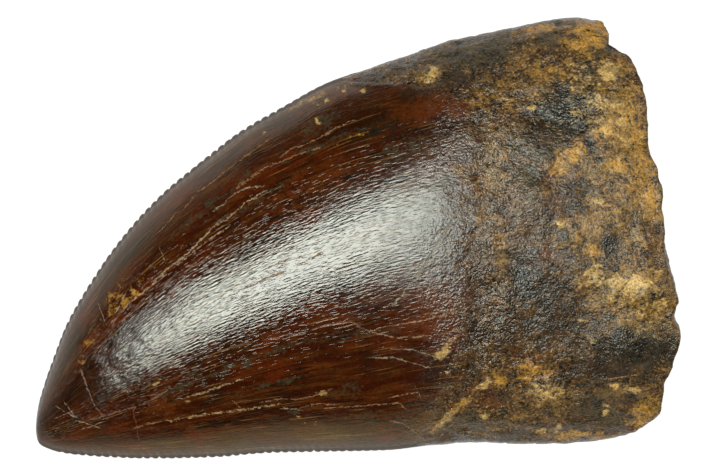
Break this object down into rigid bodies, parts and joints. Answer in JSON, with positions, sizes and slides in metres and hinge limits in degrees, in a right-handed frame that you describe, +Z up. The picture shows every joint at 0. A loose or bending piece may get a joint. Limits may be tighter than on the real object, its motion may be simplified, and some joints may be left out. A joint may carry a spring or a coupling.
{
  "type": "fossil dinosaur tooth",
  "caption": "Curved, blade-like fossil dinosaur tooth with serrated edges and a broken root stump, lying on its side as a display specimen.",
  "frame": {"origin": "middle of the bounding box, at the flat spot that the tooth rests on", "axes": "+X from the tip towards the broken root, +Y towards the front cutting edge, +Z up from the flat spot"},
  "size_m": [0.0456, 0.0314, 0.0122],
  "materials": {
    "tooth": "glossy fossil enamel on the crown, rough mineral-stained root"
  },
  "bodies": {
    "root": {"tooth": "tooth"}
  },
  "joints": []
}
